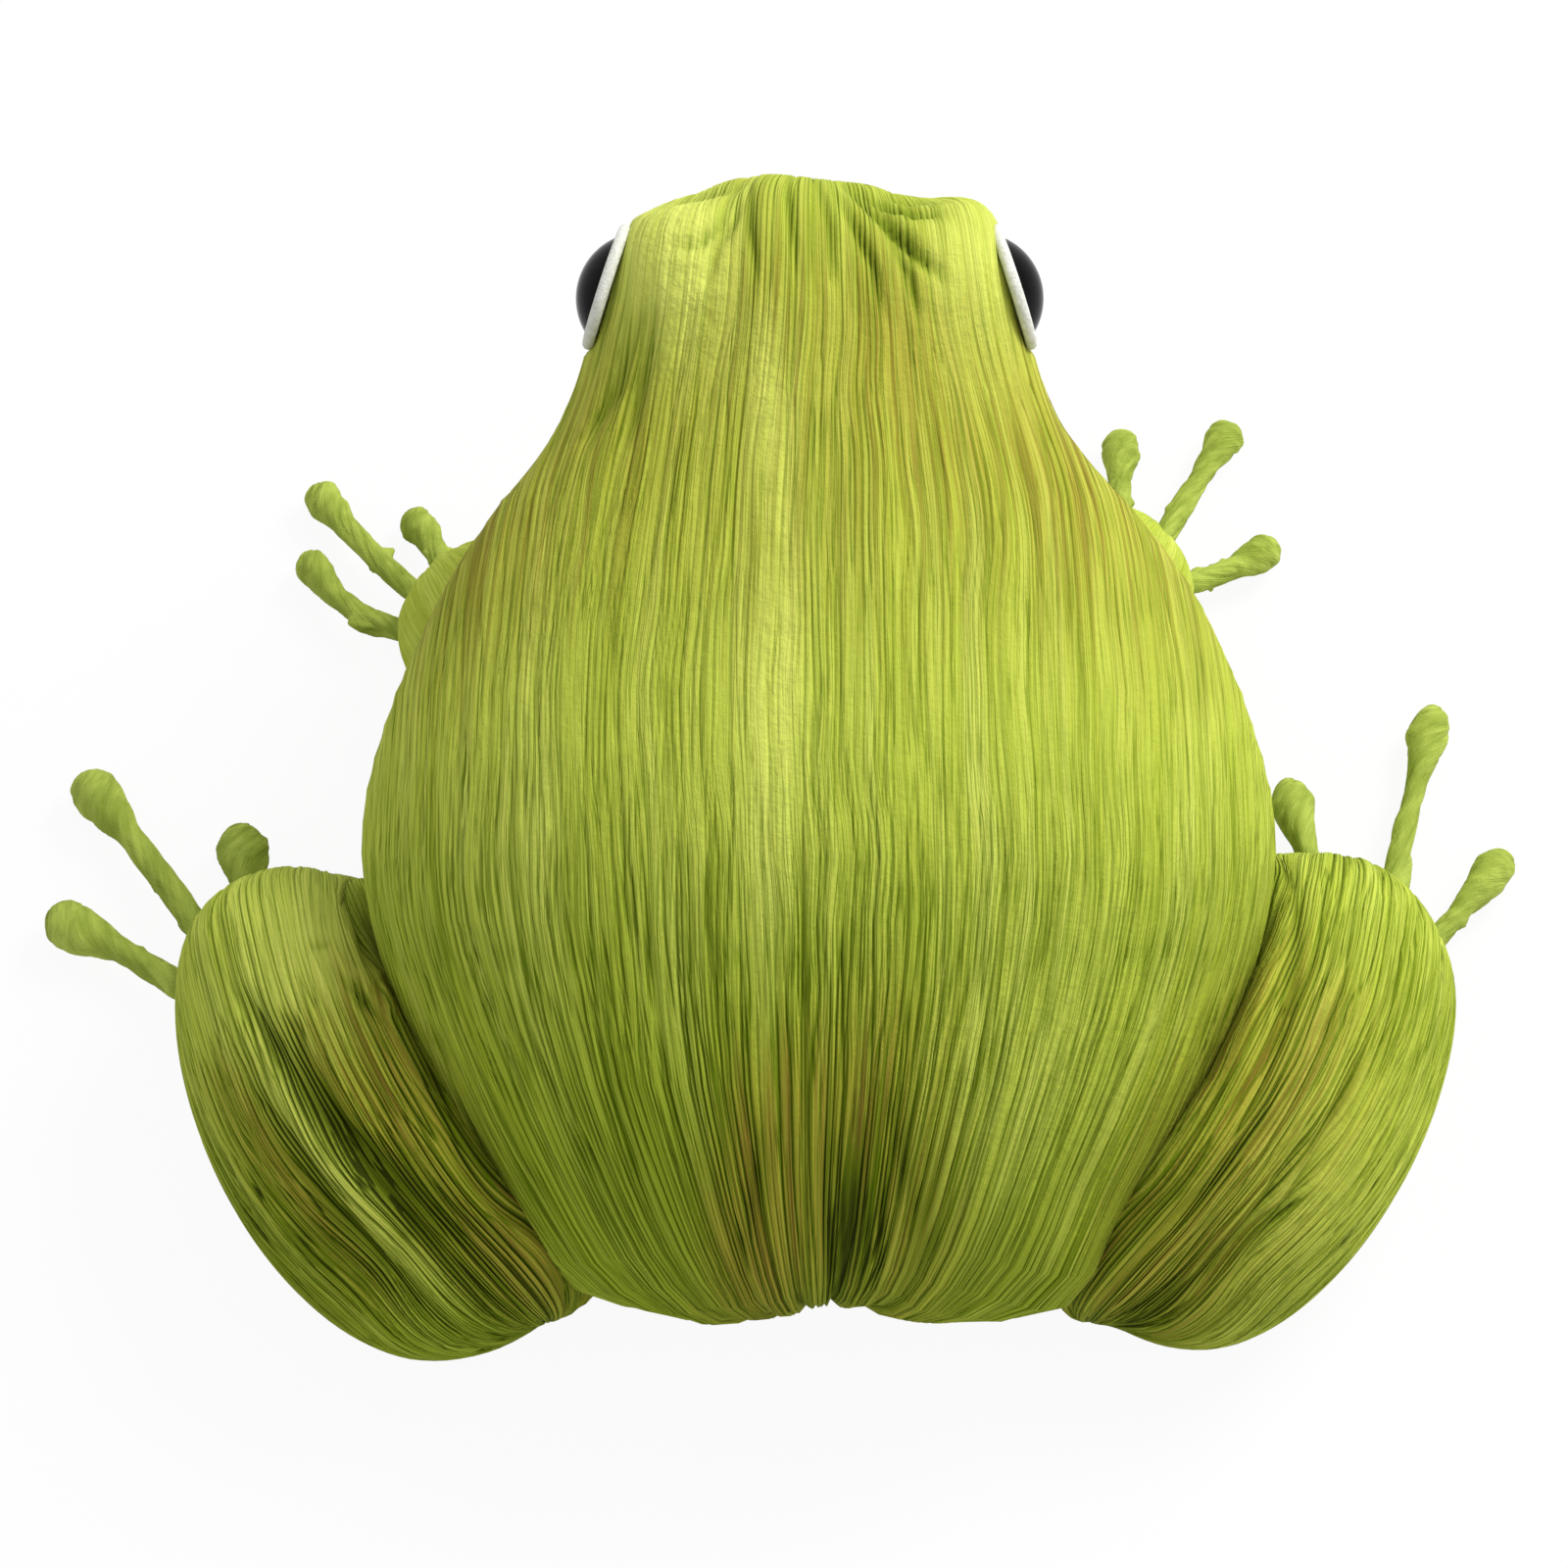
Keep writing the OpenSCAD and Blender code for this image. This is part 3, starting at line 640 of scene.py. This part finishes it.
# The lay of the back's paper: it bows with the flanks at the rump and runs straight from there to the
# nose, where it fans out, and on the face it keeps the lay of the brows.
def laid_straight(grid, around, share, straightness):
    across = np.abs((grid - TAIL) @ RIGHTWARD)
    level = (grid - TAIL) @ NOSEWARD
    stations = np.arange(0, BACK_LENGTH) * MM
    widths = np.array([across[np.abs(level - at) < STATION_REACH * MM].max() for at in stations])
    wide = np.interp(level, stations, blurred(widths[:, None], STATION_SOFTNESS, 0)[:, 0])
    half = across.max(axis=1, keepdims=True)
    half = half + (wide - half) * ease(share, 0.45, 0.7)[:, None]
    turn = np.abs(2 * math.pi * (around - 0.5))
    on_top = turn < math.pi / 2
    under = np.clip((turn - math.pi / 2) / (math.pi / 2), 0, 1)
    straightness = straightness[:, None]
    bowed = np.arcsin(np.clip(across / half, 0, 1))
    fan = 1 + FAN * ease(level, FAN_START * MM, BACK_LENGTH * MM)
    straight = np.arcsin(across * fan / across.max())
    lay = np.where(on_top, bowed * (1 - straightness) + straight * straightness, 0)
    edge = lay.max(axis=1, keepdims=True)
    lay = np.where(on_top, lay, edge + under * (math.pi - edge))
    lay[share > FACE_START] = lay[share <= FACE_START][-1]
    ridge = lay.shape[1] // 2
    lay[:, ridge:] = np.maximum.accumulate(lay[:, ridge:], axis=1)
    lay[:, :ridge + 1] = np.maximum.accumulate(lay[:, ridge::-1], axis=1)[:, ::-1]
    return 0.5 + np.sign(around - 0.5) * lay / (2 * math.pi)


def papered_body():
    line = [TAIL + NOSEWARD * at * MM for at in SPINE]
    share = rows_in(*BACK_ROWS)
    grid, around = wrapped(
        "body", line, OUT_OF_BACK, share, columns=940,
        caps=(0.18, 0.24), tucks=(0.6, 0.8), softness=(0.7, 11))
    lay = laid_straight(grid, around, share, 0.85 * ease(share, 0.25, 0.5))
    grid, around = combed(grid, lay, columns=1190, crowd=0.65)
    nose_gathers = (30, 1.6, ease(share, 0.86, 0.97))
    rump_gathers = (34, 2.4, ease(share, 0.16, 0.03))
    made, facts = pleated(
        swollen(grid, BACK_MOUNDS), around, share, BACK_PLEATS, [nose_gathers, rump_gathers],
        tightness=0.7 + 0.7 * ease(share, 0.5, 0.1), seed=3,
        folds=BACK_FOLDS, dye_and_shade_lines=BACK_STAINS, pales=BACK_PALES)
    keep(skin("papered_body", made, facts), back_paper, "body")


papered_body()

# Legs: lines inside the thighs from heel to knee, in millimetres, and how tightly the paper is drawn at
# the knee, with what is added at the heel
THIGH_LINES = {
    "left": [(-64, -26, 22), (-84, 0, 22), (-90, 30, 20)],
    "right": [(65, -25, 22), (85, 1, 22), (91, 31, 20)]}
THIGH_TIGHTNESS = {"left": (0.75, 0.65), "right": (0.95, 0.15)}
THIGH_PLEATS = [(40, 3, 1.2, 0.6, 0.1), (190, 4, 0.4, 0.5, 1.25), (300, 6, 0.28, 0.3, 0.9)]
ARM_LENGTH = 42 * MM
ARM_SPLAY = math.radians(24)
ARM_TIGHTNESS = 0.35
ARMPITS = {
    "left": np.array([-56.0, 73.7, 15.0]) * MM,
    "right": np.array([48.0, 81.2, 15.0]) * MM}
ARM_PLEATS = [(18, 3, 1.0, 0.5, 0.1), (90, 3, 0.3, 0.4, 0.8)]


def papered_thigh(name, side):
    line = [np.array(place) * MM for place in THIGH_LINES[name]]
    share = rows_in((0, 1, 66))
    grid, around = wrapped(
        name + "_hind_leg", line, UPWARD, share, columns=700,
        caps=(0.28, 0.26), tucks=(1.1, 0.9), softness=(0.8, 9), papered=(2, 12), lean=-0.25 * side)
    grid, around = combed(grid, around, columns=1300, crowd=0.4)
    knee_gathers = (18, 1.6, ease(share, 0.82, 0.95))
    heel_gathers = (20, 0.4, ease(share, 0.2, 0.05))
    at_knee, added = THIGH_TIGHTNESS[name]
    made, facts = pleated(
        swollen(grid, KNEE_MOUNDS[name]), around, share, THIGH_PLEATS, [knee_gathers, heel_gathers],
        tightness=at_knee + added * ease(share, 0.75, 0.25), seed=40 + side,
        folds=THIGH_FOLDS[name], dye_and_shade_lines=THIGH_DYE_AND_SHADE[name], pales=THIGH_PALES[name])
    keep(skin(name + "_papered_thigh", made, facts), thigh_paper, name + "_hind_leg")


def papered_arm(name, side):
    way = np.array([side * math.sin(ARM_SPLAY), math.cos(ARM_SPLAY), 0])
    line = [ARMPITS[name] + way * ARM_LENGTH * at for at in (0.34, 0.5, 0.66)]
    share = rows_in((0, 1, 40))
    grid, around = wrapped(
        name + "_fore_leg", line, UPWARD, share, columns=400,
        caps=(0.3, 0.36), tucks=(0, 0.5), softness=(0.8, 12), papered=(2, 15))
    grid, around = combed(grid, around, columns=640, crowd=0.3)
    wrist_gathers = (12, 1.6, ease(share, 0.75, 0.95))
    made, facts = pleated(
        grid, around, share, ARM_PLEATS, [wrist_gathers],
        tightness=np.full(len(share), ARM_TIGHTNESS), seed=60 + side)
    keep(skin(name + "_papered_arm", made, facts), arm_paper, name + "_fore_leg")


for name, side in SIDES.items():
    papered_thigh(name, side)
    papered_arm(name, side)

# Toes: middles of the soles that they point away from, in millimetres, shares of the solids' thickness,
# and softness in rows
SOLES = {
    "left_hind": (-100.1, 13.3, 7.0),
    "right_hind": (101.1, 14.7, 7.0),
    "left_fore": (-67.0, 98.4, 7.0),
    "right_fore": (59.0, 105.9, 7.0)}
THICKNESSES = {"left_hind": 1.04, "right_hind": 0.86, "left_fore": 1.04, "right_fore": 1.04}
TOE_ROWS = 72
TOE_COLUMNS = 44
STEM_SOFTNESS = 2.5
THICKNESS_SOFTNESS = 1.0
TWIST_LENGTH = 26 * MM
WRAP_DEPTH = 0.4 * MM
THREAD_DEPTH = 0.18 * MM
FRILL_HEIGHT = 3.0 * MM
FRILL_PLACE = 0.22
FRILL_SPREAD = 0.07
FRILL_START = 0.4
LUMPINESS = 0.09
LEAST_THICKNESS = 0.15


def sliced(node, middle, count):
    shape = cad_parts[node]
    points = np.array([shape.matrix_world @ v.co for v in shape.data.vertices])
    edges = np.array([e.vertices[:] for e in shape.data.edges])
    long_way = np.linalg.svd(points - points.mean(0), full_matrices=False)[2][0]
    if (points.mean(0) - middle) @ long_way < 0:
        long_way = -long_way
    level = points @ long_way
    low, high = level.min(), level.max()
    stations = low + (high - low) * np.sin(np.linspace(0.01, 0.985, count) * math.pi / 2)
    a, b = level[edges[:, 0]], level[edges[:, 1]]
    line, radius = [], []
    for s in stations:
        cut = (a - s) * (b - s) < 0
        t = ((s - a[cut]) / (b[cut] - a[cut]))[:, None]
        ring = points[edges[cut, 0]] * (1 - t) + points[edges[cut, 1]] * t
        centre = (ring.min(0) + ring.max(0)) / 2
        line.append(centre)
        radius.append(np.linalg.norm(ring - centre, axis=1).mean())
    return np.array(line), np.array(radius)[:, None], long_way


def twisted_toe(node, middle, thickness, seed):
    line, radius, way = sliced(node, middle, TOE_ROWS)
    line = blurred(line, STEM_SOFTNESS, 0)
    radius = blurred(radius, THICKNESS_SOFTNESS, 0)
    side = unit(np.cross(way, UPWARD))
    top = np.cross(side, way)
    turn, along = np.meshgrid(np.arange(TOE_COLUMNS) / TOE_COLUMNS, np.linspace(0, 1, TOE_ROWS))
    ray = np.cos(2 * math.pi * turn)[..., None] * side + np.sin(2 * math.pi * turn)[..., None] * top
    twisted = turn + along * np.linalg.norm(line[-1] - line[0]) / TWIST_LENGTH
    wrap = creases(crumple(twisted, along, cells=7, runs=4, seed=seed), width=0.35)
    thread = creases(crumple(twisted, along, cells=20, runs=7, seed=seed + 1), width=0.4)
    lump = crumple(turn, along, cells=4, runs=9, seed=seed + 2)
    frill = np.clip(crumple(turn, along, cells=7, runs=16, seed=seed + 3) - FRILL_START, 0, 1)
    frill = frill * hill(along - FRILL_PLACE, FRILL_SPREAD)
    size = radius * (thickness + LUMPINESS * lump)
    size = size - WRAP_DEPTH * wrap - THREAD_DEPTH * thread + FRILL_HEIGHT * frill
    made = line[:, None] + ray * np.maximum(size, LEAST_THICKNESS * radius)[..., None]
    flow = np.stack([twisted, along, 0 * along + seed], axis=-1)
    facts = {"flow": flow, "crease": np.maximum(0.75 * wrap, 0.6 * thread)}
    keep(skin("papered_" + node, made, facts), toe_paper, node)


seed = 100
for foot, middle in SOLES.items():
    for place in ("outer", "middle", "inner"):
        seed += 7
        twisted_toe(foot + "_toe_" + place, np.array(middle) * MM, THICKNESSES[foot], seed)

# Eyes
felt = white_felt()
gloss = black_gloss()
for name in SIDES:
    for node, finish in ((name + "_eye_disc", felt), (name + "_eye_dome", gloss)):
        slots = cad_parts[node].data.materials
        slots.clear()
        slots.append(finish)

# Studio: the camera looks straight down on the back, and the lamp stands before the right shoulder
MIDDLE = Vector((-0.0063, 0.0502, 0.0578))
CAMERA_DISTANCE = 1.4
LAMP_DISTANCE = 1.2
LAMP_POWER = 12.9
LAMP_SIZE = 0.5
LAMP_WAY = Vector((0.54, 0.5, 0.68))
SKY_LIGHT = 0.62
FLOOR_REACH = 6
FLOOR_DROP = 0.4 * MM
FLOOR_WHITENESS = 0.93


def seen_backdrop(finish):
    kinds = ("Is Camera Ray", "Is Glossy Ray", "Is Transmission Ray")
    sight, shine, through = (finish.node("ShaderNodeLightPath", out=kind) for kind in kinds)
    return sight + shine + through


def floor_finish():
    floor = Finish("pale_floor")
    grain = floor.noise(floor.place(), detail=3, scale=9.0)
    card = floor.node("ShaderNodeBsdfDiffuse", None, {"Color": floor.mix(grain, grey(0.86), grey(0.92))})
    glow = floor.node("ShaderNodeEmission", None, {"Color": WHITE, "Strength": 1.0})
    return floor.close(floor.mix_light(seen_backdrop(floor) * FLOOR_WHITENESS, card, glow))


around_floor = ((-1, -1), (1, -1), (1, 1), (-1, 1))
corners = [(x * FLOOR_REACH, y * FLOOR_REACH, -FLOOR_DROP) for x, y in around_floor]
floor_mesh = bpy.data.meshes.new("floor")
floor_mesh.from_pydata(corners, [], [(0, 1, 2, 3)])
floor = bpy.data.objects.new("floor", floor_mesh)
scene.collection.objects.link(floor)
floor_mesh.materials.append(floor_finish())

scene.world = bpy.data.worlds.new("studio")
sky = Finish("studio", scene.world)
dim = sky.node("ShaderNodeBackground", None, {"Color": WHITE, "Strength": SKY_LIGHT})
white = sky.node("ShaderNodeBackground", None, {"Color": WHITE, "Strength": 1.0})
sky.close(sky.mix_light(seen_backdrop(sky), dim, white), "ShaderNodeOutputWorld")

light = bpy.data.lights.new("key", "AREA")
light.energy = LAMP_POWER
light.size = LAMP_SIZE
lamp = bpy.data.objects.new("key", light)
lamp.location = MIDDLE + LAMP_DISTANCE * LAMP_WAY
lamp.rotation_euler = (MIDDLE - lamp.location).to_track_quat("-Z", "Y").to_euler()
scene.collection.objects.link(lamp)

lens = bpy.data.cameras.new("camera")
lens.sensor_width = 36
lens.lens = 175
lens.clip_end = 20
camera = bpy.data.objects.new("camera", lens)
camera.location = MIDDLE + CAMERA_DISTANCE * Vector(OUT_OF_BACK)
camera.rotation_euler = (TILT, 0, 0)
scene.collection.objects.link(camera)
scene.camera = camera
